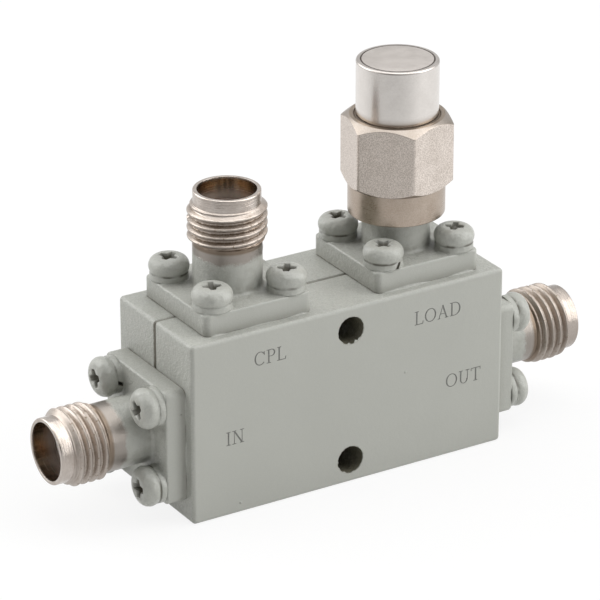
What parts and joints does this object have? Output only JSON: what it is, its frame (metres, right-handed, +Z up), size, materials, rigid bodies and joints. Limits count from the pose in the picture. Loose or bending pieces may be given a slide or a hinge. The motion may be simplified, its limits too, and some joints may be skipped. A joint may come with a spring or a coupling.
{
  "type": "directional coupler",
  "caption": "Coaxial directional coupler in a split grey housing, with flanged threaded input, output and coupled ports, and a hexagon matched load on the fourth port.",
  "frame": {"origin": "middle of the housing's base, in the joint between the halves, midway between the input and output ports", "axes": "+X along the through line from input to output, +Y from the front face to the rear face, +Z up through the top ports"},
  "size_m": [0.0484, 0.0116, 0.0327],
  "materials": {
    "grey_paint": "satin",
    "painted_fasteners": "satin",
    "stainless_steel": "satin",
    "gold_plate": "polished",
    "copper": "satin",
    "ptfe": "matte",
    "silicone": "matte",
    "ceramic": "matte"
  },
  "bodies": {
    "root": {"front_half": "grey_paint", "rear_half": "grey_paint", "front_board": "ptfe", "rear_board": "ptfe", "through_strip": "copper", "coupled_strip": "copper", "cover_screws": "painted_fasteners", "load_body": "stainless_steel", "load_end_cap": "stainless_steel", "load_nut": "stainless_steel", "load_retaining_ring": "gold_plate", "load_gasket": "silicone", "load_insulator": "ptfe", "load_pin": "gold_plate", "load_resistor": "ceramic", "input_shell": "stainless_steel", "input_insulator": "ptfe", "input_contact": "gold_plate", "input_lock_washers": "painted_fasteners", "input_screws": "painted_fasteners", "output_shell": "stainless_steel", "output_insulator": "ptfe", "output_contact": "gold_plate", "output_lock_washers": "painted_fasteners", "output_screws": "painted_fasteners", "coupled_shell": "stainless_steel", "coupled_insulator": "ptfe", "coupled_contact": "gold_plate", "coupled_lock_washers": "painted_fasteners", "coupled_screws": "painted_fasteners", "load_port_shell": "stainless_steel", "load_port_insulator": "ptfe", "load_port_contact": "gold_plate", "load_port_lock_washers": "painted_fasteners", "load_port_screws": "painted_fasteners"}
  },
  "joints": []
}
